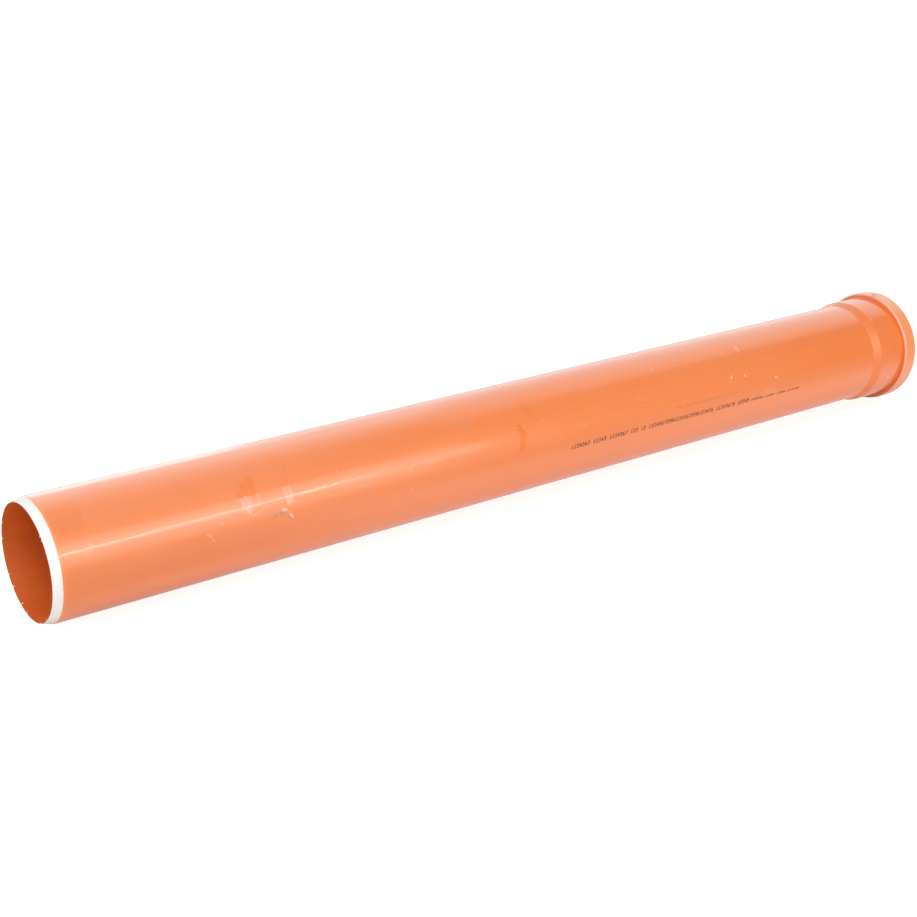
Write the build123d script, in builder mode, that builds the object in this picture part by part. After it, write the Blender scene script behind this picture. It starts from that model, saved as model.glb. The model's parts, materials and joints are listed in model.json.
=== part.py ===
"""Sewer pipe in orange PVC-U: one length of three-layer pipe with a bevelled spigot at one end and a
push-fit socket formed in its own wall at the other, and the rubber lip ring that seals the socket.

Millimetres and degrees. The axis of the pipe is X. X = 0 is the sawn end of the spigot, and the mouth
of the socket faces +X. The pipe lies level, so +Z is up.
"""

from build123d import *
from math import atan2, degrees, radians, tan
import os

# Barrel
outside_diameter = 110
wall = 3.2
laying_length = 1000  # from the sawn end to where the wall begins to widen into the socket

# Spigot: the saw leaves a narrow land, and the rest of the wall is bevelled to enter the next socket
bevel_angle = 15
end_land = 0.5

# Socket: the wall flares out, grips the next spigot, then rises into a bead that houses the ring
socket_play = 0.2  # all round an entered spigot
socket_wall = 2.9
flare_length = 11
flare_round = 5
grip_length = 36.5
bead_length = 18.5
bead_wall = 2.5
bead_shoulder_slope = 0.5  # how far each shoulder of the bead leans along the axis
groove_depth = 5.2
lip_length = 4
mouth_lead_in = 1.1  # bevel inside the mouth

# Ring: a heel against the mouth side of the groove, a serrated leg on its floor and a sealing lip.
# The lip is drawn pressed back, as it lies on an entered spigot.
ring_play = 0.1
spigot_play = 0.05
heel_length = 5.6
heel_set_back = 0.5
leg_thickness = 1.5
tooth_height = 0.4
tooth_count = 3
lip_root_thickness = 1.9
lip_tip_thickness = 1.1
lip_end_gap = 0.9

# Radii and stations that follow from the sizes above
outer_r = outside_diameter / 2
bore_r = outer_r - wall
land_r = bore_r + end_land
bevel_length = (outer_r - land_r) / tan(radians(bevel_angle))

socket_bore_r = outer_r + socket_play
socket_outer_r = socket_bore_r + socket_wall
groove_r = socket_bore_r + groove_depth
bead_outer_r = groove_r + bead_wall

grip_start = laying_length + flare_length
bead_start = grip_start + grip_length
bead_end = bead_start + bead_length
mouth = bead_end + lip_length
groove_start = bead_start + bead_wall
groove_end = bead_end - bead_wall

# The inner flare runs parallel to the outer one, so its corners lie further along
flare_angle = degrees(atan2(socket_outer_r - outer_r, flare_length))
inner_shift = tan(radians(flare_angle / 2))
inner_flare_start = laying_length + wall * inner_shift
inner_flare_end = grip_start + socket_wall * inner_shift

# Rounds limited by the walls that carry them
inner_flare_round = flare_round + wall
bead_round = bead_wall / 2
root_round = bead_wall / 3
groove_round = bead_wall / 4


# Pipe: barrel and socket are one extruded wall, so one turned solid. Each corner of its section is
# (x, radius, rounding), and a rounding of 0 leaves the corner sharp.
outside = [
    (0, land_r, 0),
    (bevel_length, outer_r, 0),
    (laying_length, outer_r, flare_round),
    (grip_start, socket_outer_r, flare_round),
    (bead_start, socket_outer_r, root_round),
    (bead_start + bead_shoulder_slope, bead_outer_r, bead_round),
    (bead_end - bead_shoulder_slope, bead_outer_r, bead_round),
    (bead_end, socket_outer_r, root_round),
    (mouth, socket_outer_r, 0),
]
inside = [
    (mouth, socket_bore_r + mouth_lead_in, 0),
    (mouth - mouth_lead_in, socket_bore_r, 0),
    (groove_end, socket_bore_r, 0),
    (groove_end - bead_shoulder_slope, groove_r, groove_round),
    (groove_start + bead_shoulder_slope, groove_r, groove_round),
    (groove_start, socket_bore_r, 0),
    (inner_flare_end, socket_bore_r, inner_flare_round),
    (inner_flare_start, bore_r, inner_flare_round),
    (0, bore_r, 0),
]
points = [(x, r) for x, r, _ in outside + inside]
rounds = [rounding for _, _, rounding in outside + inside]

with BuildPart() as pipe:
    with BuildSketch(Plane.XZ):
        with BuildLine():
            FilletPolyline(*points, radius=rounds, close=True)
        make_face()
    revolve(axis=Axis.X)

# Ring: leg and lip are the two arms of a U that opens towards the barrel, so pressure spreads them
ring_start = groove_start + bead_shoulder_slope + ring_play
ring_end = groove_end - bead_shoulder_slope - ring_play
ring_outer_r = groove_r - ring_play
leg_outer_r = ring_outer_r - tooth_height
leg_inner_r = leg_outer_r - leg_thickness
lip_inner_r = outer_r + spigot_play
lip_root_r = lip_inner_r + lip_root_thickness
lip_start = ring_start + lip_end_gap
heel_start = ring_end - heel_length
crotch_bevel = (leg_inner_r - lip_root_r) / 3
tooth_pitch = (heel_start - ring_start) / tooth_count

# Each tooth rises gently from the side where the ring enters the groove and drops steeply behind
teeth = []
for i in range(tooth_count):
    foot = heel_start - i * tooth_pitch
    teeth.append((foot, leg_outer_r))
    teeth.append((foot - tooth_pitch / 2, ring_outer_r))

section = [
    (ring_end, lip_inner_r + heel_set_back),
    (ring_end, ring_outer_r - groove_round),
    (ring_end - groove_round, ring_outer_r),
    (heel_start + tooth_height, ring_outer_r),
    *teeth,
    (ring_start, leg_outer_r),
    (ring_start, leg_inner_r),
    (heel_start - crotch_bevel, leg_inner_r),
    (heel_start, leg_inner_r - crotch_bevel),
    (heel_start, lip_root_r + crotch_bevel),
    (heel_start - crotch_bevel, lip_root_r),
    (lip_start, lip_inner_r + lip_tip_thickness),
    (lip_start, lip_inner_r),
    (heel_start, lip_inner_r),
]

with BuildPart() as seal_ring:
    with BuildSketch(Plane.XZ):
        with BuildLine():
            Polyline(*section, close=True)
        make_face()
    revolve(axis=Axis.X)

pipe.part.label = "pipe"
seal_ring.part.label = "seal_ring"

os.makedirs("parts", exist_ok=True)
for piece in (pipe.part, seal_ring.part):
    export_step(piece, f"parts/{piece.label}.step")
    print(piece.label, piece.bounding_box().size, round(piece.volume))
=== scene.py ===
"""Looks of the orange sewer pipe: a three-layer barrel, its bevelled spigot, formed socket and lip ring.

Metres and radians, in the frame of the model: X runs along the axis from the spigot's sawn end to the
mouth of the socket, and Z is up.
An angle round the pipe is 0 at the front (-Y) and a quarter turn at the top.
"""

import json
import random
from math import atan2, ceil, cos, pi, radians, sin, tan

import bpy
from mathutils import Matrix, Vector, noise


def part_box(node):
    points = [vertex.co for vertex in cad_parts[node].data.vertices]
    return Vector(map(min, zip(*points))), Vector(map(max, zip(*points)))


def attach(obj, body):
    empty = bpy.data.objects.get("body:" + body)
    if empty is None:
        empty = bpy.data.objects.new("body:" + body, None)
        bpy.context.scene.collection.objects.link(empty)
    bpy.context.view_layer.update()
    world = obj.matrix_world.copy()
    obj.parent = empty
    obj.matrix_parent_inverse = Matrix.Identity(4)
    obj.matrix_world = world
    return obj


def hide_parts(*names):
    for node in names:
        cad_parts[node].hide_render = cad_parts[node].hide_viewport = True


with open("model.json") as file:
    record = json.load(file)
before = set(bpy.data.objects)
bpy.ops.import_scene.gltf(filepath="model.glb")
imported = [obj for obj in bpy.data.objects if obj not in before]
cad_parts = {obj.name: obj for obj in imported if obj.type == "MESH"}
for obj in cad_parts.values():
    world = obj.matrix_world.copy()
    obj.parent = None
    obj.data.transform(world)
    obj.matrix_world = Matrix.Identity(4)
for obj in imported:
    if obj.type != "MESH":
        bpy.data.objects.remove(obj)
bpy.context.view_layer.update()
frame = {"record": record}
BODY = "root"
MM = 0.001

# Sizes from the frame
MOUNTS = {mount["name"]: mount for mount in frame["record"]["mounts"]}


def mount_radius(name):
    return MOUNTS[name]["dims"]["r_mm"] * MM


BORE_R = mount_radius("waterway")
OUTER_R = mount_radius("spigot")
SOCKET_R = mount_radius("socket")
PIPE_LOW, PIPE_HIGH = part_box("pipe")
RING_LOW, RING_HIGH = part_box("seal_ring")
BEAD_R = min(PIPE_HIGH[1], -PIPE_LOW[1])
MOUTH = PIPE_HIGH[0]

# Sizes of the wall that the frame doesn't name
WALL = OUTER_R - BORE_R
LAND = 0.5 * MM
INNER_SKIN = 0.2 * MM
OUTER_SKIN = 0.5 * MM
LAYING_LENGTH = 1000 * MM
BEVEL_LENGTH = (WALL - LAND) / tan(radians(15))
SOCKET_WALL = 2.9 * MM
FLARE_LENGTH = 11 * MM
FLARE_ROUND = 5 * MM
BEAD_LENGTH = 18.5 * MM
BEAD_WALL = 2.5 * MM
BEAD_LEAN = 0.5 * MM
LIP_LENGTH = 4 * MM
LEAD_IN = 1.1 * MM
BEAD_ROUND = 1.9 * MM
ROOT_ROUND = 0.83 * MM
GROOVE_ROUND = 0.62 * MM
EDGE_ROUND = 0.3 * MM

SOCKET_OUTER_R = SOCKET_R + SOCKET_WALL
GROOVE_R = BEAD_R - BEAD_WALL
GRIP_START = LAYING_LENGTH + FLARE_LENGTH
BEAD_END = MOUTH - LIP_LENGTH
BEAD_START = BEAD_END - BEAD_LENGTH
GROOVE_START = BEAD_START + BEAD_WALL
GROOVE_END = BEAD_END - BEAD_WALL
FLARE_SHIFT = tan(atan2(SOCKET_OUTER_R - OUTER_R, FLARE_LENGTH) / 2)

# Fineness of the turned meshes
TURN_STEPS = 360
ROUND_STEPS = 8
LONGEST_STEP = 20 * MM
SUPPORT = 0.4 * MM
SHARPEST_SMOOTH = radians(13)

# Slow waves of the extruded wall
WAVE_HEIGHT = 0.02 * MM
WAVE_LENGTH = 130 * MM

# Saw marks on the inner edge of the sawn end, coarse and fine
JAG_DEPTH = 0.25 * MM
JAG_REACH = 0.6 * MM
JAG_FINENESS = (30, 75)

# Camera, fitted to the photograph's outline
IMAGE_WIDTH = 917
FOCAL_PIXELS = 1612.1
SENSOR = 36
CAMERA_PLACE = Vector((-442.31, -1189.94, 549.97)) * MM
CAMERA_YAW = 0.64138
CAMERA_PITCH = -0.35939


# Turned meshes

def rounded_line(corners):
    """Closed line of (x, radius) points through (x, radius, round) corners, each round drawn as an arc."""
    points = []
    shares = [step / ROUND_STEPS for step in range(ROUND_STEPS + 1)]
    for i, (x, r, rounding) in enumerate(corners):
        corner = Vector((x, r))
        if not rounding:
            points.append(corner)
            continue
        back = (Vector(corners[i - 1][:2]) - corner).normalized()
        ahead = (Vector(corners[(i + 1) % len(corners)][:2]) - corner).normalized()
        half_opening = back.angle(ahead) / 2
        centre = corner + (back + ahead).normalized() * rounding / sin(half_opening)
        reach = rounding / tan(half_opening)
        start = (corner + back * reach - centre).normalized()
        end = (corner + ahead * reach - centre).normalized()
        points += [centre + start.slerp(end, share) * rounding for share in shares]
    return points


def refined(points):
    """The closed line with long runs cut up, and points near both ends of a run so that it shades flat."""
    fine = []
    for i, point in enumerate(points):
        after = points[(i + 1) % len(points)]
        run = (after - point).length
        cuts = max(1, ceil(run / LONGEST_STEP))
        shares = [cut / cuts for cut in range(cuts)]
        if run > 4 * SUPPORT:
            shares = [0, SUPPORT / run, *shares[1:], 1 - SUPPORT / run]
        fine += [point.lerp(after, share) for share in shares]
    return fine


def on_pipe(x, r, angle):
    return Vector((x, -r * cos(angle), r * sin(angle)))


def turned_mesh(name, line, shift=None):
    """A closed solid turned about X from a closed line of (x, radius) points."""
    vertices, faces = [], []
    rows = len(line)
    for row, (x, r) in enumerate(line):
        for step in range(TURN_STEPS):
            angle = 2 * pi * step / TURN_STEPS
            vertices.append(on_pipe(x, r + (shift(x, r, angle) if shift else 0), angle))
            beside = (step + 1) % TURN_STEPS
            below = (row + 1) % rows
            faces.append([band * TURN_STEPS + place for band, place in
                          ((row, step), (below, step), (below, beside), (row, beside))])
    mesh = bpy.data.meshes.new(name)
    mesh.from_pydata(vertices, [], faces)
    mesh.shade_smooth()
    mesh.set_sharp_from_angle(angle=SHARPEST_SMOOTH)
    return mesh


def add_piece(name, mesh, slot, *materials):
    piece = bpy.data.objects.new(name, mesh)
    for material in materials:
        mesh.materials.append(material)
    bpy.context.scene.collection.objects.link(piece)
    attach(piece, BODY)
    return piece


def wall_shift(x, r, angle):
    """Slow waves of the extruded wall, and the saw marks on the inner edge of its end."""
    from_ends = min(x - BEVEL_LENGTH, LAYING_LENGTH - x)
    fade = min(1, max(0, from_ends / WAVE_LENGTH))
    waves = WAVE_HEIGHT * fade * noise.noise(Vector((x / WAVE_LENGTH, cos(angle), sin(angle))))
    if x < JAG_REACH and r < BORE_R + 2 * INNER_SKIN:
        turns = Vector((cos(angle), sin(angle), 0))
        jag = sum(noise.noise(turns * fineness) for fineness in JAG_FINENESS)
        waves += JAG_DEPTH * jag * (1 - x / JAG_REACH)
    return waves


CORE_END = BEVEL_LENGTH * (1 - OUTER_SKIN / (WALL - LAND))


def pipe_line():
    outside = [
        (0, BORE_R + INNER_SKIN, 0),
        (0, BORE_R + LAND, 0),
        (CORE_END, OUTER_R - OUTER_SKIN, 0),
        (BEVEL_LENGTH, OUTER_R, 0),
        (LAYING_LENGTH, OUTER_R, FLARE_ROUND),
        (GRIP_START, SOCKET_OUTER_R, FLARE_ROUND),
        (BEAD_START, SOCKET_OUTER_R, ROOT_ROUND),
        (BEAD_START + BEAD_LEAN, BEAD_R, BEAD_ROUND),
        (BEAD_END - BEAD_LEAN, BEAD_R, BEAD_ROUND),
        (BEAD_END, SOCKET_OUTER_R, ROOT_ROUND),
        (MOUTH, SOCKET_OUTER_R, EDGE_ROUND),
    ]
    inside = [
        (MOUTH, SOCKET_R + LEAD_IN, 0),
        (MOUTH - LEAD_IN, SOCKET_R, EDGE_ROUND),
        (GROOVE_END, SOCKET_R, EDGE_ROUND),
        (GROOVE_END - BEAD_LEAN, GROOVE_R, GROOVE_ROUND),
        (GROOVE_START + BEAD_LEAN, GROOVE_R, GROOVE_ROUND),
        (GROOVE_START, SOCKET_R, EDGE_ROUND),
        (GRIP_START + SOCKET_WALL * FLARE_SHIFT, SOCKET_R, FLARE_ROUND + WALL),
        (LAYING_LENGTH + WALL * FLARE_SHIFT, BORE_R, FLARE_ROUND + WALL),
        (JAG_REACH, BORE_R, 0),
        (0, BORE_R, 0),
    ]
    return refined(rounded_line(outside + inside))


# Shader graphs

def colour(r, g, b):
    return (r, g, b, 1.0)


class Graph:
    """Adds nodes to a material or world in a few words."""

    def __init__(self, owner):
        owner.use_nodes = True
        self.tree = owner.node_tree
        self.tree.nodes.clear()

    def node(self, kind, inputs=(), **settings):
        node = self.tree.nodes.new("ShaderNode" + kind)
        for key, value in settings.items():
            setattr(node, key, value)
        for key, value in dict(inputs).items():
            self.put(value, node.inputs[key])
        return node

    def put(self, value, socket):
        if isinstance(value, bpy.types.NodeSocket):
            self.tree.links.new(value, socket)
        else:
            socket.default_value = value

    def math(self, operation, a, b=0.0, c=0.0, clamp=False):
        return self.node("Math", {0: a, 1: b, 2: c}, operation=operation, use_clamp=clamp).outputs[0]

    def times(self, a, b):
        return self.math("MULTIPLY", a, b)

    def vector(self, operation, a, b=(0, 0, 0), scale=1.0):
        node = self.node("VectorMath", {0: a, 1: b, 3: scale}, operation=operation)
        return node.outputs[1 if operation in ("LENGTH", "DOT_PRODUCT", "DISTANCE") else 0]

    def noise(self, at, scale=1.0, detail=2.0, roughness=0.5):
        inputs = {"Vector": at, "Scale": scale, "Detail": detail, "Roughness": roughness}
        return self.node("TexNoise", inputs).outputs["Fac"]

    def spread(self, value, low, high, out_low=0.0, out_high=1.0):
        """The value eased from low..high to out_low..out_high, and held at those outside."""
        inputs = {"Value": value, "From Min": low, "From Max": high, "To Min": out_low, "To Max": out_high}
        return self.node("MapRange", inputs, interpolation_type="SMOOTHSTEP").outputs["Result"]

    def mix(self, share, a, b):
        node = self.node("Mix", {"Factor": share}, data_type="RGBA")
        self.put(a, node.inputs[6])
        self.put(b, node.inputs[7])
        return node.outputs[2]

    def most(self, masks):
        result = masks[0]
        for mask in masks[1:]:
            result = self.math("MAXIMUM", result, mask)
        return result

    def bump(self, height, distance, normal=None):
        inputs = {"Height": height, "Distance": distance, "Strength": 1.0}
        if normal:
            inputs["Normal"] = normal
        return self.node("Bump", inputs).outputs[0]

    def surface(self, shader, kind="OutputMaterial"):
        self.node(kind, {"Surface": shader.outputs[0]})


class PipeGraph(Graph):
    """A graph with the place on the pipe: millimetres, the angle round it and the wall rolled out flat."""

    def __init__(self, owner):
        super().__init__(owner)
        place = self.node("TexCoord").outputs["Object"]
        self.place = self.vector("SCALE", place, scale=1 / MM)
        axes = self.node("SeparateXYZ", {0: self.place}).outputs
        self.x = axes[0]
        self.radius = self.vector("LENGTH", self.node("CombineXYZ", {1: axes[1], 2: axes[2]}).outputs[0])
        turn = self.math("ARCTAN2", axes[2], self.times(axes[1], -1.0))
        self.angle = self.times(turn, 180 / pi)
        self.flat = self.node("CombineXYZ", {0: self.x, 1: self.times(turn, OUTER_R / MM)}).outputs[0]

    def along(self, stretch, scale):
        """Noise space in millimetres, drawn out along the axis."""
        return self.vector("MULTIPLY", self.place, (scale / stretch, scale, scale))

    def capsules(self, marks, wobble):
        """Mask of soft strokes, each from (x, degrees) to (x, degrees) with half width, blur and strength."""
        mask = 0.0
        for x1, a1, x2, a2, half_width, blur, strength in marks:
            start = Vector((x1, radians(a1) * OUTER_R / MM, 0))
            reach = Vector((x2, radians(a2) * OUTER_R / MM, 0)) - start
            if reach.length:
                here = self.vector("SUBTRACT", wobble, start)
                along = self.vector("DOT_PRODUCT", here, reach / reach.length_squared)
                share = self.math("MULTIPLY", along, 1.0, clamp=True)
                gap = self.vector("DISTANCE", here, self.vector("SCALE", reach, scale=share))
            else:
                gap = self.vector("DISTANCE", wobble, start)
            mask = self.math("MAXIMUM", mask, self.spread(gap, half_width, half_width + blur, strength, 0.0))
        return mask


def new_material(name, kind=PipeGraph):
    material = bpy.data.materials.new(name)
    return material, kind(material)


# Marks on the barrel: x, degrees, x, degrees, half width, blur, strength
LIGHT_MARKS = [
    (184, 14, 196, 18.5, 0.1, 0.5, 0.55),
    (53, 24, 55, 18, 0.15, 0.5, 0.3),
    (142, 7, 146, 0, 0.15, 0.6, 0.7),
    (140, 8, 142, 6.5, 0.6, 1.4, 0.4),
    (101, 18, 104, 20, 0.1, 0.5, 0.4),
    (215, 13.2, 217.5, 12.5, 0.7, 1.3, 1.0),
    (219, 11, 221, 8, 0.3, 1.0, 0.35),
    (221.8, 7, 223.2, 4.2, 0.7, 1.1, 1.0),
    (351, -0.5, 351, -0.5, 0.6, 0.6, 0.8),
    (353, 18, 353, 18, 0.5, 0.6, 0.7),
    (483, 33, 483, 33, 0.4, 0.6, 0.7),
    (676, 57, 676, 63, 0.2, 0.6, 0.5),
    (677, 37, 677, 42, 0.2, 0.6, 0.4),
    (637, 33, 651, 26, 0.1, 0.7, 0.3),
    (779, 60, 779, 60, 0.5, 0.7, 0.7),
    (801, 56, 801, 63, 0.5, 0.6, 0.9),
    (773.5, 27.3, 773.8, 28.3, 1.2, 0.8, 1.0),
    (793, 26.5, 794, 25.3, 0.7, 0.8, 0.9),
    (838, 16, 843, 13, 0.3, 0.7, 0.8),
    (838.5, 15.5, 839, 15.2, 0.9, 0.5, 0.9),
    (822, 3, 833, -1, 1.0, 6.0, 0.14),
    (855, -30, 861, -33, 0.3, 0.8, 0.3),
    (500, 67, 500, 69, 0.7, 1.2, 0.2),
    (503, 44, 503, 44, 0.4, 0.5, 0.6),
    (519, 43, 519, 43, 0.4, 0.5, 0.5),
    (461, 37, 461, 37, 0.4, 0.5, 0.5),
    (702, 31, 702, 31, 0.4, 0.6, 0.5),
    (705, 58, 705, 58, 0.5, 0.6, 0.5),
    (720, 53, 722, 51, 0.4, 0.6, 0.5),
    (907, 4, 907, 4, 0.5, 0.6, 0.6),
    (1012, 52, 1014, 52, 0.5, 0.6, 0.9),
    (1029, -21, 1031, -23, 0.5, 0.6, 0.9),
    (1010, -32, 1010, -32, 0.4, 0.6, 0.7),
]
GREY_MARKS = [
    (211, 12.5, 220, 13, 1.0, 1.8, 0.5),
    (204, 10, 217, 9.5, 1.0, 2.4, 0.7),
    (173, -10, 173.5, -4, 1.4, 2.5, 0.25),
    (184, -9, 199, -9, 1.0, 3.5, 0.14),
    (166, 5, 180, 4, 0.8, 3.0, 0.15),
    (149, 8, 157, 6, 0.8, 2.5, 0.18),
    (293, 12, 307, 3, 2.5, 5.0, 0.18),
    (272, -3, 273, 2, 1.5, 3.0, 0.2),
    (218, 83, 226, 83, 1.5, 2.5, 0.35),
    (471, -5, 471, -12, 0.4, 1.0, 0.35),
    (245, 15, 257, 15, 0.4, 1.2, 0.6),
    (287, 15, 310, 15.3, 0.4, 1.2, 0.6),
    (322, 15, 330, 15, 0.2, 0.9, 0.4),
    (275, 85, 276, 85, 1.2, 2.0, 0.5),
    (285, 87, 292, 84, 1.2, 2.5, 0.45),
    (424, 62, 421, 55, 1.0, 2.2, 0.3),
    (421, 55, 430, 51, 1.0, 2.2, 0.3),
    (430, 51, 431, 46, 1.2, 2.2, 0.4),
    (431, 46, 428, 41, 0.8, 2.0, 0.25),
    (387, 2, 396, -6, 0.6, 2.5, 0.25),
    (396, -6, 407, -4, 0.8, 3.0, 0.2),
    (503, 89, 503, 89, 1.5, 2.0, 0.45),
    (487, 83, 487, 83, 1.2, 2.0, 0.4),
    (502, 74, 502, 78, 0.8, 1.6, 0.4),
    (518, 10, 518, 18, 0.3, 1.0, 0.35),
    (516, 2, 516, 7, 0.3, 1.0, 0.3),
    (450, 8, 450, 18, 0.3, 1.0, 0.3),
    (577, 68, 572, 62, 0.3, 0.9, 0.5),
    (572, 62, 575, 57, 0.3, 0.9, 0.5),
    (597, 87, 598, 87, 1.5, 2.5, 0.4),
    (618, 87, 625, 86, 1.5, 2.5, 0.4),
    (1050, 84, 1056, 87, 1.4, 1.8, 1.0),
]
DARK_MARKS = [
    (486, 33.5, 486, 33.5, 0.4, 0.7, 0.8),
    (694, 10, 694, 10, 0.9, 0.9, 0.55),
    (698, 9.6, 740, 9.8, 0.15, 0.8, 0.4),
    (740, 9.8, 780, 10.2, 0.1, 0.9, 0.3),
    (349, 24.5, 355, 24.5, 0.2, 0.9, 0.45),
    (500, 26, 540, 26, 0.1, 0.9, 0.12),
    (540, 25, 700, 25.2, 0.1, 0.9, 0.12),
    (219, 7, 222, 3, 0.2, 0.6, 0.5),
    (206, 9, 207, 9, 0.3, 0.6, 0.5),
    (212, 10, 214, 10, 0.3, 0.7, 0.5),
    (1051, 86, 1052, 86, 0.3, 0.7, 0.5),
]
# Patches painted deeper orange as painted shade, where the gloss reflects less light
GLOSS_SHADE_MARKS = [
    (484, 31, 488, 24, 2.8, 1.5, 1.0),
    (487, 24, 483, 11, 2.2, 1.5, 1.0),
    (105, 8, 138, 6.5, 0.8, 3.0, 0.2),
    (177.5, 35, 177.5, 37.5, 1.8, 2.4, 0.5),
    (183.5, 35.5, 184, 43, 1.8, 3.8, 0.45),
    (190.5, 36, 191, 47, 1.8, 4.0, 0.45),
    (221, 34.8, 223.5, 37.5, 1.8, 2.4, 0.35),
    (19, 47, 19, 62, 6.0, 5.0, 0.25),
    (32, 47, 32, 66, 5.0, 3.0, 0.25),
    (501, 58, 505, 38, 1.5, 3.0, 0.35),
]
# Streaks of painted highlight that run across the pipe, where glossier spots reflect the lamps more
HIGHLIGHT_STREAKS = [
    (178.5, 19.5, 177.5, 31, 1.2, 1.0, 0.7),
    (183, 19, 182, 31, 1.8, 1.2, 0.9),
    (186.5, 20, 186, 31, 0.4, 0.9, 0.8),
    (192, 25, 193, 31, 2.2, 1.5, 0.3),
    (222, 18.5, 221, 31, 1.6, 1.2, 0.8),
    (226, 18.5, 225, 31, 1.2, 1.4, 0.7),
    (34, 18, 36, 26, 1.5, 1.5, 0.3),
]

# Specks on the skin, one in some cells of a grid: cell, size, share of the cells, offset of the grid
DUST_SPECKS = [(8.0, 0.18, 0.3, 0.0), (17.0, 0.36, 0.22, 31.7)]
DARK_SPECKS = (22.0, 0.4, 0.5, 77.3)

# How far the blur and wobble of a mark may reach beyond its own points
MARK_REACH = 8

# Gloss of the skin, and its roughness where it is scuffed or dusty
COAT = 0.6
COAT_ROUGHNESS = 0.085
SKIN_SPECULAR = 0.36
RUBBED_ROUGHNESS = 0.62

# Places for the graphs, in millimetres
BEVEL_X = BEVEL_LENGTH / MM
CORE_X = CORE_END / MM
FLARE_X = LAYING_LENGTH / MM
GRIP_X = GRIP_START / MM
BEAD_X = BEAD_START / MM
SOCKET_SKIN_R = SOCKET_OUTER_R / MM
BEAD_SKIN_R = BEAD_R / MM

# Base colours
# Barrel tones along the pipe are painted light: paler near the spigot, deeper towards the socket
NEAR_PAINTED_LIGHT = colour(0.91, 0.262, 0.092)
MIDDLE_PAINTED_LIGHT = colour(0.905, 0.232, 0.058)
FAR_PAINTED_LIGHT = colour(0.90, 0.205, 0.032)
CLOUD_ORANGE = colour(0.86, 0.22, 0.05)
LINE_ORANGE = colour(0.70, 0.13, 0.02)
GLOSS_SHADE_ORANGE = colour(0.86, 0.18, 0.02)
PALE_ORANGE = colour(0.93, 0.30, 0.10)
FLARE_SHEEN_ORANGE = colour(0.90, 0.235, 0.075)
CREASE_SHADE_ORANGE = colour(0.66, 0.10, 0.015)
CUT_EDGE = colour(0.96, 0.34, 0.10)
# Pale colour of scuffs and fine scratches, also the painted highlight on the bead's corner
SCUFF_AND_HIGHLIGHT = colour(0.95, 0.72, 0.58)
STREAK_HIGHLIGHT = colour(0.95, 0.60, 0.48)
GRIME = colour(0.50, 0.31, 0.22)
DIRT = colour(0.30, 0.10, 0.05)
# Colour of dust specks, also the painted sheen on the bead's upper side
DUST_AND_SHEEN = colour(0.95, 0.75, 0.62)
BORE_ORANGE = colour(0.93, 0.215, 0.036)
BORE_SHADE = colour(0.88, 0.19, 0.03)
BORE_LINE = colour(0.60, 0.10, 0.015)
FOAM = colour(0.935, 0.89, 0.86)
FOAM_LIGHT = colour(0.97, 0.935, 0.91)
FOAM_CELL = colour(0.88, 0.82, 0.79)
FOAM_RING = colour(0.88, 0.83, 0.80)
RUBBER = colour(0.018, 0.018, 0.019)
TALC = colour(0.075, 0.072, 0.07)
INK_DARK = colour(0.016, 0.005, 0.010)
INK_THIN = colour(0.045, 0.012, 0.020)
IOR = 1.5


def barrel_tone(graph, lines, hairs):
    """Slow changes of tone, with painted light that makes the barrel paler near the spigot and deeper towards
    the socket, and fine lines that the extrusion die leaves along the axis.
    """
    # Painted light: paler near the spigot, deeper towards the socket
    tone = graph.mix(graph.spread(graph.x, 100, 550), NEAR_PAINTED_LIGHT, MIDDLE_PAINTED_LIGHT)
    tone = graph.mix(graph.spread(graph.x, 780, 980), tone, FAR_PAINTED_LIGHT)
    cloud = graph.noise(graph.along(6, 0.03), detail=4, roughness=0.6)
    tone = graph.mix(graph.spread(cloud, 0.35, 0.7, 0.0, 0.25), tone, CLOUD_ORANGE)
    tone = graph.mix(graph.spread(lines, 0.30, 0.72, 0.02, 0.0), tone, LINE_ORANGE)
    return graph.mix(graph.spread(hairs, 0.60, 0.78, 0.0, 0.04), tone, SCUFF_AND_HIGHLIGHT)


def bead_mask(graph):
    return graph.times(graph.spread(graph.x, BEAD_X - 0.6, BEAD_X + 0.4),
                       graph.spread(graph.radius, SOCKET_SKIN_R + 1, BEAD_SKIN_R - 1))


def flare_mask(graph):
    return graph.times(graph.spread(graph.x, FLARE_X - 0.5, FLARE_X + 1),
                       graph.spread(graph.x, GRIP_X + 0.5, GRIP_X - 1))


def socket_tone(graph, tone, bead, flare):
    # The bead was stretched while hot and is paler, and the corner of its shoulder carries a painted
    # highlight
    tone = graph.mix(graph.times(bead, 0.9), tone, PALE_ORANGE)
    corner = graph.times(graph.spread(graph.radius, BEAD_SKIN_R - 2.0, BEAD_SKIN_R - 1.2),
                         graph.spread(graph.x, BEAD_X + 2.6, BEAD_X + 1.7))
    tone = graph.mix(graph.times(corner, 0.35), tone, SCUFF_AND_HIGHLIGHT)

    # Painted sheen on the upper side of the bead
    top_sheen = graph.times(bead, graph.spread(graph.angle, 30, 60, 0.0, 0.16))
    tone = graph.mix(top_sheen, tone, DUST_AND_SHEEN)

    # Painted shade in the crease at the foot of the shoulder
    foot = graph.times(graph.spread(graph.x, BEAD_X - 3, BEAD_X - 0.5),
                       graph.spread(graph.radius, SOCKET_SKIN_R + 6, SOCKET_SKIN_R + 1))
    tone = graph.mix(graph.times(foot, 0.15), tone, CREASE_SHADE_ORANGE)

    # The flare's colour is painted paler, a painted sheen; the mandrel that widened it left it duller
    return graph.mix(graph.times(flare, 0.6), tone, FLARE_SHEEN_ORANGE)


def cut_edge(graph, tone):
    """The cutter leaves the skin's edge paler."""
    edge = graph.math("MULTIPLY_ADD", graph.noise(graph.flat, 0.9, detail=3), 1.6, graph.x)
    return graph.mix(graph.spread(edge, BEVEL_X + 0.7, BEVEL_X + 1.2, 0.5, 0.0), tone, CUT_EDGE)


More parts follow.
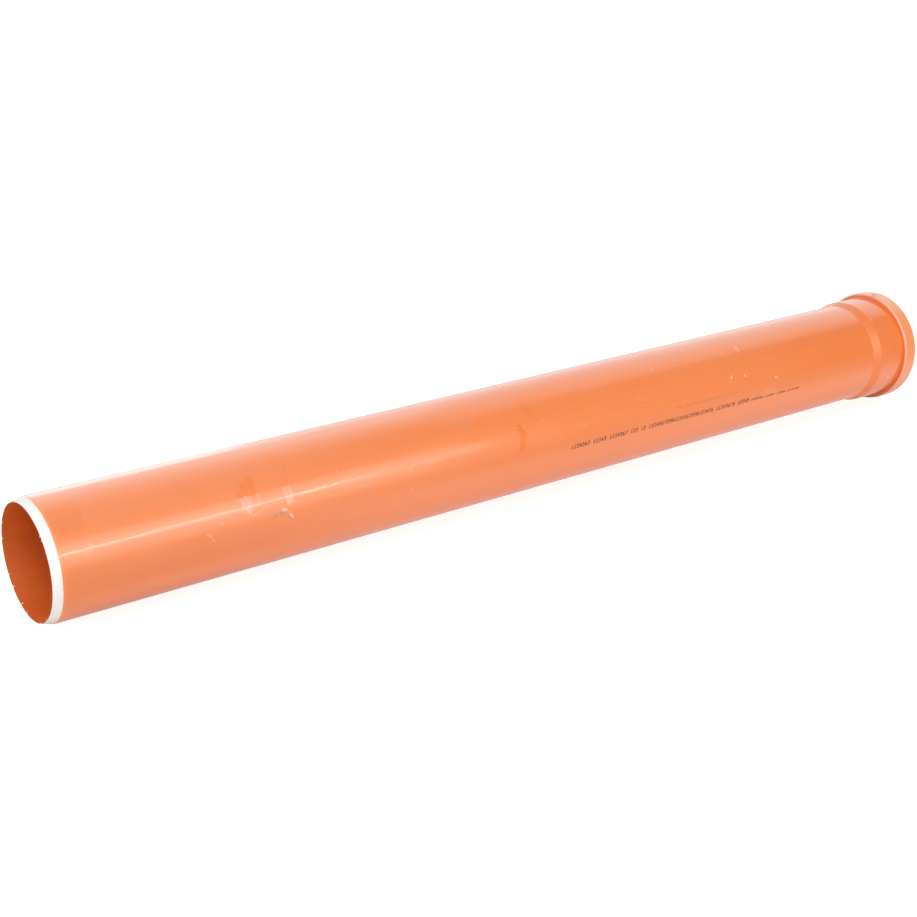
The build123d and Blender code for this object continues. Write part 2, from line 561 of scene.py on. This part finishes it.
def mark_masks(graph, x_from, x_to):
    """Masks of the marks on one stretch of the pipe, with edges broken by noise."""
    wander = graph.node("TexNoise", {"Vector": graph.flat, "Scale": 0.5, "Detail": 4.0, "Roughness": 0.7})
    shift = graph.vector("SUBTRACT", wander.outputs["Color"], (0.5, 0.5, 0.5))
    wobble = graph.vector("ADD", graph.flat, graph.vector("SCALE", shift, scale=1.8))
    patchy = graph.spread(graph.noise(graph.flat, 0.9, detail=4, roughness=0.7), 0.40, 0.60, 0.2, 1.0)

    def strokes(marks):
        low, high = x_from - MARK_REACH, x_to + MARK_REACH
        return graph.capsules([mark for mark in marks if low < mark[2] and mark[0] < high], wobble)

    # Painted shade where the gloss reflects less light
    gloss_shade = strokes(GLOSS_SHADE_MARKS)
    light = graph.times(strokes(LIGHT_MARKS), patchy)
    grey = graph.times(strokes(GREY_MARKS), patchy)
    dark = strokes(DARK_MARKS)
    # Painted highlight streaks, broken into lines across the pipe
    highlight_streaks = strokes(HIGHLIGHT_STREAKS)
    streaking = graph.noise(graph.vector("MULTIPLY", graph.flat, (1.1, 0.09, 1)), detail=3)
    highlight_streaks = graph.times(highlight_streaks, graph.spread(streaking, 0.36, 0.62, 0.2, 1.0))
    return gloss_shade, light, grey, dark, highlight_streaks


def specks(graph, cell, size, share, offset):
    shifted = graph.vector("ADD", graph.flat, (offset, offset, 0))
    dots = graph.node("TexVoronoi", {"Vector": shifted, "Scale": 1 / cell}, voronoi_dimensions="2D")
    picked = graph.node("SeparateXYZ", {0: dots.outputs["Color"]}).outputs
    chosen = graph.math("LESS_THAN", picked[0], share)
    reach = graph.math("MULTIPLY_ADD", picked[1], size / cell, 0.4 * size / cell)
    near = graph.math("LESS_THAN", dots.outputs["Distance"], reach)
    return graph.times(chosen, near)


def orange_skin(name, x_from, x_to):
    """Glossy PVC skin with die lines, dust, and the scuffs, grime, painted highlights, sheen and shade that
    lie on one stretch of the pipe.
    """
    material, graph = new_material(name)
    lines = graph.noise(graph.along(250, 0.7), detail=4, roughness=0.7)
    hairs = graph.noise(graph.along(90, 1.6), detail=3, roughness=0.7)
    bead = bead_mask(graph)
    flare = flare_mask(graph)
    tone = barrel_tone(graph, lines, hairs)
    tone = socket_tone(graph, tone, bead, flare)
    tone = cut_edge(graph, tone)

    gloss_shade, light, grey, dark, highlight_streaks = mark_masks(graph, x_from, x_to)
    dust = graph.times(graph.most([specks(graph, *row) for row in DUST_SPECKS]), 0.7)
    spots = graph.times(specks(graph, *DARK_SPECKS), 0.35)
    # Patches of painted shade
    base = graph.mix(gloss_shade, tone, GLOSS_SHADE_ORANGE)
    base = graph.mix(graph.times(grey, 0.75), base, GRIME)
    base = graph.mix(graph.times(dark, 0.8), base, DIRT)
    # Painted highlight streaks
    base = graph.mix(graph.times(highlight_streaks, 0.45), base, STREAK_HIGHLIGHT)
    base = graph.mix(graph.times(light, 0.75), base, SCUFF_AND_HIGHLIGHT)
    base = graph.mix(dust, base, DUST_AND_SHEEN)
    base = graph.mix(spots, base, DIRT)

    # Scuffed and dusty places, the flare and the bead are rougher, and the first three lose their gloss
    rubbed = graph.most([light, grey, dust])
    roughness = graph.spread(lines, 0.3, 0.7, 0.275, 0.285)
    roughness = graph.math("MAXIMUM", roughness, graph.times(rubbed, RUBBED_ROUGHNESS))
    roughness = graph.math("MULTIPLY_ADD", flare, 0.12, roughness)
    roughness = graph.math("MULTIPLY_ADD", bead, 0.12, roughness)
    dull = graph.math("MAXIMUM", rubbed, graph.times(flare, 0.5))

    swell = graph.noise(graph.along(8, 0.05), detail=1)
    swelling = graph.bump(swell, 0.006 * MM)
    normal = graph.bump(graph.math("MULTIPLY_ADD", hairs, 0.25, lines), 0.0006 * MM, swelling)
    coat_normal = graph.bump(lines, 0.0004 * MM, swelling)
    graph.surface(graph.node("BsdfPrincipled", {
        "Base Color": base,
        "Roughness": roughness,
        "Normal": normal,
        "Coat Normal": coat_normal,
        "Coat Weight": graph.math("MULTIPLY_ADD", dull, -COAT, COAT),
        "Coat Roughness": COAT_ROUGHNESS,
        "Specular IOR Level": SKIN_SPECULAR,
        "IOR": IOR,
    }))
    return material


def orange_bore():
    """The inner skin: plainer and a little more matt, with die lines and a few specks."""
    material, graph = new_material("orange_bore")
    lines = graph.noise(graph.along(200, 0.5), detail=4, roughness=0.7)
    cloud = graph.noise(graph.along(4, 0.04), detail=4, roughness=0.6)
    tone = graph.mix(graph.spread(cloud, 0.3, 0.7), BORE_ORANGE, BORE_SHADE)
    tone = graph.mix(graph.spread(lines, 0.3, 0.7, 0.15, 0.0), tone, BORE_LINE)
    dots = graph.node("TexVoronoi", {"Vector": graph.flat, "Scale": 1 / 11}, voronoi_dimensions="2D")
    picked = graph.node("SeparateXYZ", {0: dots.outputs["Color"]}).outputs
    speck = graph.times(graph.math("LESS_THAN", picked[0], 0.4),
                        graph.math("LESS_THAN", dots.outputs["Distance"], 0.04))
    tone = graph.mix(graph.times(speck, 0.7), tone, CUT_EDGE)
    graph.surface(graph.node("BsdfPrincipled", {
        "Base Color": tone,
        "Roughness": graph.spread(lines, 0.3, 0.7, 0.42, 0.5),
        "Normal": graph.bump(graph.math("MULTIPLY_ADD", cloud, 4.0, lines), 0.006 * MM),
        "IOR": IOR,
    }))
    return material


def white_core():
    """Foamed white core laid bare by the bevel: fine cells, and faint rings from the cutter."""
    material, graph = new_material("white_core")
    grain = graph.noise(graph.place, 3.0, detail=5, roughness=0.75)
    cells = graph.noise(graph.place, 1.2, detail=3, roughness=0.6)
    ringed = graph.node("CombineXYZ", {0: graph.x, 1: graph.times(graph.angle, 0.01)}).outputs[0]
    rings = graph.noise(ringed, 4.0, detail=3)
    tone = graph.mix(graph.spread(grain, 0.35, 0.65), FOAM, FOAM_LIGHT)
    tone = graph.mix(graph.spread(cells, 0.62, 0.74, 0.0, 0.25), tone, FOAM_CELL)
    tone = graph.mix(graph.spread(rings, 0.55, 0.75, 0.0, 0.12), tone, FOAM_RING)

    # The skin's torn edge reaches a little over the core
    torn = graph.math("MULTIPLY_ADD", graph.noise(graph.flat, 0.7, detail=4, roughness=0.7), 2.4, graph.x)
    tone = graph.mix(graph.spread(torn, CORE_X + 1.0, CORE_X + 1.3), tone, CUT_EDGE)
    graph.surface(graph.node("BsdfPrincipled", {
        "Base Color": tone,
        "Roughness": graph.spread(grain, 0.3, 0.7, 0.62, 0.8),
        "Normal": graph.bump(graph.math("ADD", grain, cells), 0.05 * MM),
        "IOR": IOR,
    }))
    return material


def ring_rubber():
    """Moulded rubber: fine grain, a bloom of talc and matt sheen."""
    material, graph = new_material("ring_rubber")
    grain = graph.noise(graph.place, 6.0, detail=4, roughness=0.7)
    bloom = graph.noise(graph.place, 0.12, detail=5, roughness=0.65)
    graph.surface(graph.node("BsdfPrincipled", {
        "Base Color": graph.mix(graph.spread(bloom, 0.45, 0.75, 0.0, 0.5), RUBBER, TALC),
        "Roughness": graph.spread(bloom, 0.4, 0.7, 0.45, 0.7),
        "Normal": graph.bump(grain, 0.02 * MM),
        "IOR": IOR,
    }))
    return material


def print_ink():
    """Dark ink of the jet printer, soaked a little unevenly into the skin."""
    material, graph = new_material("print_ink")
    soak = graph.noise(graph.flat, 1.5, detail=3, roughness=0.6)
    graph.surface(graph.node("BsdfPrincipled", {
        "Base Color": graph.mix(graph.spread(soak, 0.35, 0.7), INK_DARK, INK_THIN),
        "Roughness": graph.spread(soak, 0.3, 0.7, 0.45, 0.6),
        "Normal": graph.bump(soak, 0.004 * MM),
        "Specular IOR Level": 0.25,
    }))
    return material


# The pipe

# Stretches of the outer skin, each with the marks that lie on it: name, from x, to x
STRETCHES = [("spigot_skin", 0, 345), ("middle_skin", 345, 700), ("socket_skin", 700, 1070)]


def add_pipe(core, bore):
    skins = [orange_skin(*stretch) for stretch in STRETCHES]
    mesh = turned_mesh("pipe_wall", pipe_line(), wall_shift)
    pipe = add_piece("pipe_wall", mesh, "orange_pvc", *skins, core, bore)
    for polygon in pipe.data.polygons:
        x, y, z = polygon.center
        r = Vector((y, z)).length
        if x < CORE_END and r > BORE_R + INNER_SKIN and polygon.normal.x < 0:
            polygon.material_index = len(skins)
        elif polygon.normal.dot(Vector((0, y, z))) < 0:
            polygon.material_index = len(skins) + 1
        else:
            polygon.material_index = sum(x > start * MM for _, start, _ in STRETCHES[1:])
    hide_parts("pipe")


# Printed lines: dot-matrix digits in counting order, in groups.
# Millimetres, degrees, and for the slope degrees per millimetre.
DIGIT_ROWS = (
    " ###    #    ###  #####    #  #####   ##  #####  ###   ### ",
    "#   #  ##   #   #    #    ##  #      #        # #   # #   #",
    "#  ##   #       #   #    # #  ####  #        #  #   # #   #",
    "# # #   #     ##     #  #  #      # ####    #    ###   ####",
    "##  #   #    #        # #####     # #   #  #    #   #     #",
    "#   #   #   #     #   #    #  #   # #   #  #    #   #    # ",
    " ###   ###  #####  ###     #   ###   ###   #     ###   ##  ",
)
DIGIT_COLUMNS = 5
DIGIT_WIDTH = 0.52  # of the pitch
DIGIT_SLANT = 0.22
DOT_SIDES = 6
DOT_SPREAD = (0.75, 1.1)
DOT_STRAY = 0.06
INK_LIFT = 0.03 * MM
LONG_PRINT = {"x": 545, "angle": -1.7, "slope": -0.6 / 252, "pitch": 3.6, "height": 4.1, "dot": 0.46,
              "groups": (7, 5, 7, 3, 2, 26, 8, 5)}
SMALL_PRINT = {"x": 799, "angle": -3.3, "slope": -0.7 / 77, "pitch": 1.88, "height": 1.9, "dot": 0.27,
               "groups": (10, 1, 7, 1, 6, 3, 7)}


def digit_dots(digit):
    """(column, row) of each dot of a digit, counted from its lower left corner."""
    first = digit * (DIGIT_COLUMNS + 1)
    return [(column, len(DIGIT_ROWS) - 1 - row) for row, line in enumerate(DIGIT_ROWS)
            for column, mark in enumerate(line[first:first + DIGIT_COLUMNS]) if mark == "#"]


def add_print(name, x, angle, slope, pitch, height, dot, groups, ink):
    """One printed line: digits that count up within each group, drawn with small flat dots on the skin."""
    chance = random.Random(name)
    vertices, faces = [], []
    rows = len(DIGIT_ROWS)
    row_pitch = height / rows
    column_pitch = pitch * DIGIT_WIDTH / (DIGIT_COLUMNS - 1)
    place = 0
    for group in groups:
        for count in range(group):
            for column, row in digit_dots((count + 1) % 10):
                dot_x = x + place * pitch + column * column_pitch + row * DIGIT_SLANT * row_pitch
                up = (row - rows / 2) * row_pitch + chance.uniform(-DOT_STRAY, DOT_STRAY)
                turn = radians(angle + slope * place * pitch) + up * MM / OUTER_R
                size = dot * chance.uniform(*DOT_SPREAD)
                first = len(vertices)
                for side in range(DOT_SIDES):
                    spoke = 2 * pi * side / DOT_SIDES
                    vertices.append(on_pipe((dot_x + size * cos(spoke)) * MM, OUTER_R + INK_LIFT,
                                            turn + size * sin(spoke) * MM / OUTER_R))
                faces.append([first + side for side in range(DOT_SIDES)])
            place += 1
        place += 1
    mesh = bpy.data.meshes.new(name)
    mesh.from_pydata(vertices, [], faces)
    add_piece(name, mesh, "orange_pvc", ink)


# Shreds the saw left on the inner edge: angle in degrees, length in millimetres, pale or not
SHREDS = [(157, 1.2, True), (175, 1.6, True), (194, 1.0, False), (211.5, 1.0, True), (224, 2.0, True),
          (226, 1.2, False), (244.5, 1.9, True), (257, 0.9, True), (46, 2.4, True), (40.5, 2.6, True),
          (29.5, 1.6, True), (309.5, 1.2, True), (330, 0.7, True), (345, 0.8, False), (290, 0.8, True)]
SHRED_WIDTH = 0.8
SHRED_THICKNESS = 0.15
SHRED_STEPS = 4
SHRED_SETTING = 0.15  # behind the sawn end
SHRED_ROOT = 0.1  # inside the wall
SHRED_HANG = 1.3  # into the bore, of its length
SHRED_TAPER = 0.8
SHRED_UNEVEN = (0.8, 1.2)
SHRED_LEAN = 0.8
SHRED_CURL = (0.2, 0.8)


def add_shreds(pale, orange):
    """Slivers of core and skin that hang from the inner edge of the sawn end. Those at the back curl."""
    chance = random.Random(7)
    vertices, faces, kinds = [], [], []
    for degrees_round, length, is_pale in SHREDS:
        turn = radians(degrees_round)
        lean = chance.uniform(-SHRED_LEAN, SHRED_LEAN)
        curl = chance.uniform(*SHRED_CURL) if cos(turn) < 0 else 0.0
        first = len(vertices)
        for step in range(SHRED_STEPS + 1):
            share = step / SHRED_STEPS
            half = SHRED_WIDTH * (1 - SHRED_TAPER * share) * chance.uniform(*SHRED_UNEVEN)
            inward = length * share * SHRED_HANG
            behind = SHRED_SETTING + length * curl * share * share
            for side, up in ((-1, 0), (1, 0), (1, 1), (-1, 1)):
                vertices.append(on_pipe(
                    (behind + up * SHRED_THICKNESS) * MM,
                    BORE_R + (SHRED_ROOT - inward) * MM,
                    turn + (lean * share + side * half) * MM / BORE_R))
        for step in range(SHRED_STEPS):
            low, high = first + 4 * step, first + 4 * step + 4
            faces += [[low + i, low + (i + 1) % 4, high + (i + 1) % 4, high + i] for i in range(4)]
        last = first + 4 * SHRED_STEPS
        faces += [[first + 3, first + 2, first + 1, first], [last, last + 1, last + 2, last + 3]]
        kinds += [0 if is_pale else 1] * (4 * SHRED_STEPS + 2)
    mesh = bpy.data.meshes.new("saw_shreds")
    mesh.from_pydata(vertices, [], faces)
    for polygon, kind in zip(mesh.polygons, kinds):
        polygon.material_index = kind
    add_piece("saw_shreds", mesh, "orange_pvc", pale, orange)


# The ring, in the shape of the frame with softened edges
RING_PLAY = 0.1 * MM
SPIGOT_PLAY = 0.05 * MM
HEEL_LENGTH = 5.6 * MM
HEEL_SET_BACK = 0.5 * MM
LEG_THICKNESS = 1.5 * MM
TOOTH_HEIGHT = 0.4 * MM
TOOTH_COUNT = 3
LIP_ROOT = 1.9 * MM
LIP_TIP = 1.1 * MM
LIP_END_GAP = 0.9 * MM
SOFT = 0.15 * MM


def ring_line():
    start = GROOVE_START + BEAD_LEAN + RING_PLAY
    end = GROOVE_END - BEAD_LEAN - RING_PLAY
    top = min(RING_HIGH[1], -RING_LOW[1])
    leg_top = top - TOOTH_HEIGHT
    leg_bottom = leg_top - LEG_THICKNESS
    lip_bottom = OUTER_R + SPIGOT_PLAY
    lip_root = lip_bottom + LIP_ROOT
    lip_start = start + LIP_END_GAP
    heel = end - HEEL_LENGTH
    crotch = (leg_bottom - lip_root) / 3
    pitch = (heel - start) / TOOTH_COUNT
    teeth = []
    for i in range(TOOTH_COUNT):
        foot = heel - i * pitch
        teeth += [(foot, leg_top, SOFT), (foot - pitch / 2, top, SOFT)]
    return rounded_line([
        (end, lip_bottom + HEEL_SET_BACK, SOFT * 2),
        (end, top - GROOVE_ROUND, SOFT),
        (end - GROOVE_ROUND, top, SOFT),
        (heel + TOOTH_HEIGHT, top, SOFT),
        *teeth,
        (start, leg_top, SOFT),
        (start, leg_bottom, SOFT),
        (heel - crotch, leg_bottom, SOFT),
        (heel, leg_bottom - crotch, SOFT),
        (heel, lip_root + crotch, SOFT),
        (heel - crotch, lip_root, SOFT),
        (lip_start, lip_bottom + LIP_TIP, SOFT * 2),
        (lip_start, lip_bottom, SOFT * 2),
        (heel, lip_bottom, SOFT),
    ])


def add_ring():
    ring = add_piece("lip_ring", turned_mesh("lip_ring", ring_line()), "black_rubber", ring_rubber())
    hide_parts("seal_ring")


CORE = white_core()
BORE = orange_bore()
INK = print_ink()
add_pipe(CORE, BORE)
add_print("long_print", ink=INK, **LONG_PRINT)
add_print("small_print", ink=INK, **SMALL_PRINT)
add_shreds(CORE, BORE)
add_ring()


# Stage

CONTACT_X = (BEVEL_LENGTH, BEAD_START + BEAD_LEAN + BEAD_ROUND)
FLOOR_TILT = atan2(BEAD_R - OUTER_R, CONTACT_X[1] - CONTACT_X[0])
FLOOR_SIZE = 60
FLOOR_GAP = 0.05 * MM
FLOOR_SEEN_NEAR = 0.82
FLOOR_MIRRORED_NEAR = 0.5
FLOOR_MIRRORED_FAR = 0.45
FLOOR_GLOW_FAR = 1.0
FLOOR_TONE = 0.66

# Lamps parallel to the pipe, placed by their elevation as seen from its axis: 0 in front, 90 overhead.
# Name, elevation, distance, from x, to x, height, strength
DIFFUSE_LAMPS = [
    ("front_near", 4, 2.6, -1.0, 1.4, 1.2, 3.8),
    ("front_far", 5, 2.6, 1.4, 2.6, 1.2, 7.0),
    ("top_key", 80, 2.6, -1.0, 1.4, 1.2, 2.9),
    ("left_top", 75, 2.0, -2.2, -0.6, 1.2, 2.4),
    ("back_fill", 165, 2.6, -1.0, 2.6, 1.2, 1.2),
]
GLOSSY_LAMPS = [
    ("box_low", 8, 2.4, -1.5, 1.95, 0.60, 1.3),
    ("box_mid", 23, 2.4, -1.5, 2.1, 0.67, 2.95),
    ("box_high", 36, 2.4, -1.5, 2.0, 0.46, 1.9),
    ("box_haze", 50, 2.4, -1.5, 2.1, 0.7, 0.25),
    ("thin_tube", 22.2, 2.2, 0.3, 1.57, 0.025, 40),
    ("back_1", 95, 2.4, 2.0, 5.5, 0.85, 0.65),
    ("back_2", 115, 2.4, -1.5, 5.5, 0.85, 0.7),
    ("back_3", 135, 2.4, -1.5, 2.0, 0.85, 1.05),
    ("back_3_far", 135, 2.4, 2.0, 5.5, 0.85, 0.63),
    ("back_4", 155, 2.4, -1.5, 1.6, 0.85, 0.72),
    ("back_4_far", 155, 2.4, 1.6, 5.5, 0.85, 0.52),
    ("back_5", 172, 2.4, -1.5, 1.4, 0.85, 1.2),
    ("back_5_far", 172, 2.4, 1.4, 5.5, 0.85, 0.3),
]
# Square lamp that faces the spigot's end: place, side, strength
END_LAMP = ((-2.3, -0.1, 0.1), 1.2, 7.5)
ROOM_LIGHT = 0.2
ROOM_MIRRORED_FRONT = 0.45
ROOM_MIRRORED_BACK = 1.0


def seen_white(graph, by_camera, by_others):
    """Brightness of the background as the camera sees it, and as reflections and clear things show it."""
    path = graph.node("LightPath").outputs
    others = graph.math("MAXIMUM", path["Is Glossy Ray"], path["Is Transmission Ray"])
    camera = graph.times(path["Is Camera Ray"], by_camera)
    return graph.math("MAXIMUM", camera, graph.times(others, by_others))


def floor_glow(graph):
    """Brightness of the floor for the camera and in reflections, by the place beside the pipe."""
    axes = graph.node("SeparateXYZ", {0: graph.node("TexCoord").outputs["Object"]}).outputs
    middle = MOUTH / 2
    beyond = graph.math("SUBTRACT", graph.math("ABSOLUTE", graph.math("SUBTRACT", axes[0], middle)), middle)
    past_end = graph.math("MAXIMUM", beyond, 0.0)
    away = graph.vector("LENGTH", graph.node("CombineXYZ", {0: past_end, 1: axes[1]}).outputs[0])
    seen = graph.spread(away, 0.1, 0.7, FLOOR_SEEN_NEAR, FLOOR_GLOW_FAR)
    # In reflections the floor glows dimmer right beside the pipe, a painted shadow
    mirrored = graph.spread(away, 0.047, 0.095, FLOOR_MIRRORED_NEAR, FLOOR_GLOW_FAR)
    mirrored = graph.times(mirrored, graph.spread(away, 0.11, 0.25, 1.0, FLOOR_MIRRORED_FAR))

    # The floor mirrors darker beside the spigot, less so right beneath it: painted shade in the reflections
    close = graph.spread(away, 0.05, 0.08, 1.0, 0.0)
    beneath = graph.times(graph.spread(axes[0], 0.05, 0.35, 0.62, 1.0), close)
    mirrored_shade = graph.math("MAXIMUM", graph.spread(axes[0], 0.12, 0.4, 0.05, 1.0), beneath)
    return seen_white(graph, seen, graph.times(mirrored, mirrored_shade))


def add_floor():
    material, graph = new_material("pale_floor", Graph)
    graph.surface(graph.node("BsdfPrincipled", {
        "Base Color": colour(FLOOR_TONE, FLOOR_TONE, FLOOR_TONE),
        "Roughness": 1.0,
        "Specular IOR Level": 0.0,
        "Emission Color": colour(1, 1, 1),
        "Emission Strength": floor_glow(graph),
    }))
    half = FLOOR_SIZE / 2
    mesh = bpy.data.meshes.new("floor")
    corners = [(-half, -half, 0), (half, -half, 0), (half, half, 0), (-half, half, 0)]
    mesh.from_pydata(corners, [], [(0, 1, 2, 3)])
    mesh.materials.append(material)
    floor = bpy.data.objects.new("floor", mesh)
    floor.location = (CONTACT_X[0], 0, -OUTER_R - FLOOR_GAP)
    floor.rotation_euler = (0, FLOOR_TILT, 0)
    bpy.context.scene.collection.objects.link(floor)


def add_world():
    world = bpy.data.worlds.new("studio")
    bpy.context.scene.world = world
    graph = Graph(world)
    room = graph.node("Background", {"Color": colour(1, 1, 1), "Strength": ROOM_LIGHT})
    white = graph.node("Background", {"Color": colour(1, 1, 1), "Strength": 1.0})
    ahead = graph.node("SeparateXYZ", {0: graph.node("TexCoord").outputs["Generated"]}).outputs[1]
    mirrored = graph.spread(ahead, -0.15, 0.25, ROOM_MIRRORED_FRONT, ROOM_MIRRORED_BACK)
    share = seen_white(graph, 1.0, mirrored)
    graph.surface(graph.node("MixShader", {0: share, 1: room.outputs[0], 2: white.outputs[0]}), "OutputWorld")


def new_light(name, width, height, strength, diffuse, glossy):
    lamp = bpy.data.lights.new(name, "AREA")
    lamp.shape = "RECTANGLE"
    lamp.size = width
    lamp.size_y = height
    lamp.energy = strength * width * height * pi
    light = bpy.data.objects.new(name, lamp)
    light.visible_camera = False
    light.visible_diffuse = diffuse
    light.visible_glossy = glossy
    bpy.context.scene.collection.objects.link(light)
    return light


def add_side_light(name, elevation, distance, x_from, x_to, height, strength, diffuse, glossy):
    light = new_light(name, x_to - x_from, height, strength, diffuse, glossy)
    tilt = radians(elevation)
    light.location = ((x_from + x_to) / 2, -distance * cos(tilt), distance * sin(tilt))
    light.rotation_euler = (pi / 2 - tilt, 0, 0)


def add_end_light(place, side, strength):
    light = new_light("end_fill", side, side, strength, diffuse=True, glossy=False)
    light.location = place
    light.rotation_euler = (-Vector(place)).to_track_quat("-Z", "Y").to_euler()


def add_camera():
    level = cos(CAMERA_PITCH)
    ahead = Vector((sin(CAMERA_YAW) * level, cos(CAMERA_YAW) * level, sin(CAMERA_PITCH)))
    right = Vector((cos(CAMERA_YAW), -sin(CAMERA_YAW), 0))
    lens = bpy.data.cameras.new("camera")
    lens.sensor_fit = "HORIZONTAL"
    lens.sensor_width = SENSOR
    lens.lens = FOCAL_PIXELS / IMAGE_WIDTH * SENSOR
    lens.clip_end = 100
    camera = bpy.data.objects.new("camera", lens)
    turn = Matrix((right, right.cross(ahead), -ahead)).transposed()
    camera.matrix_world = Matrix.Translation(CAMERA_PLACE) @ turn.to_4x4()
    bpy.context.scene.collection.objects.link(camera)
    bpy.context.scene.camera = camera


add_floor()
add_world()
for lamp_row in DIFFUSE_LAMPS:
    add_side_light(*lamp_row, diffuse=True, glossy=False)
for lamp_row in GLOSSY_LAMPS:
    add_side_light(*lamp_row, diffuse=False, glossy=True)
add_end_light(*END_LAMP)
add_camera()
bpy.context.scene.view_settings.view_transform = "Standard"
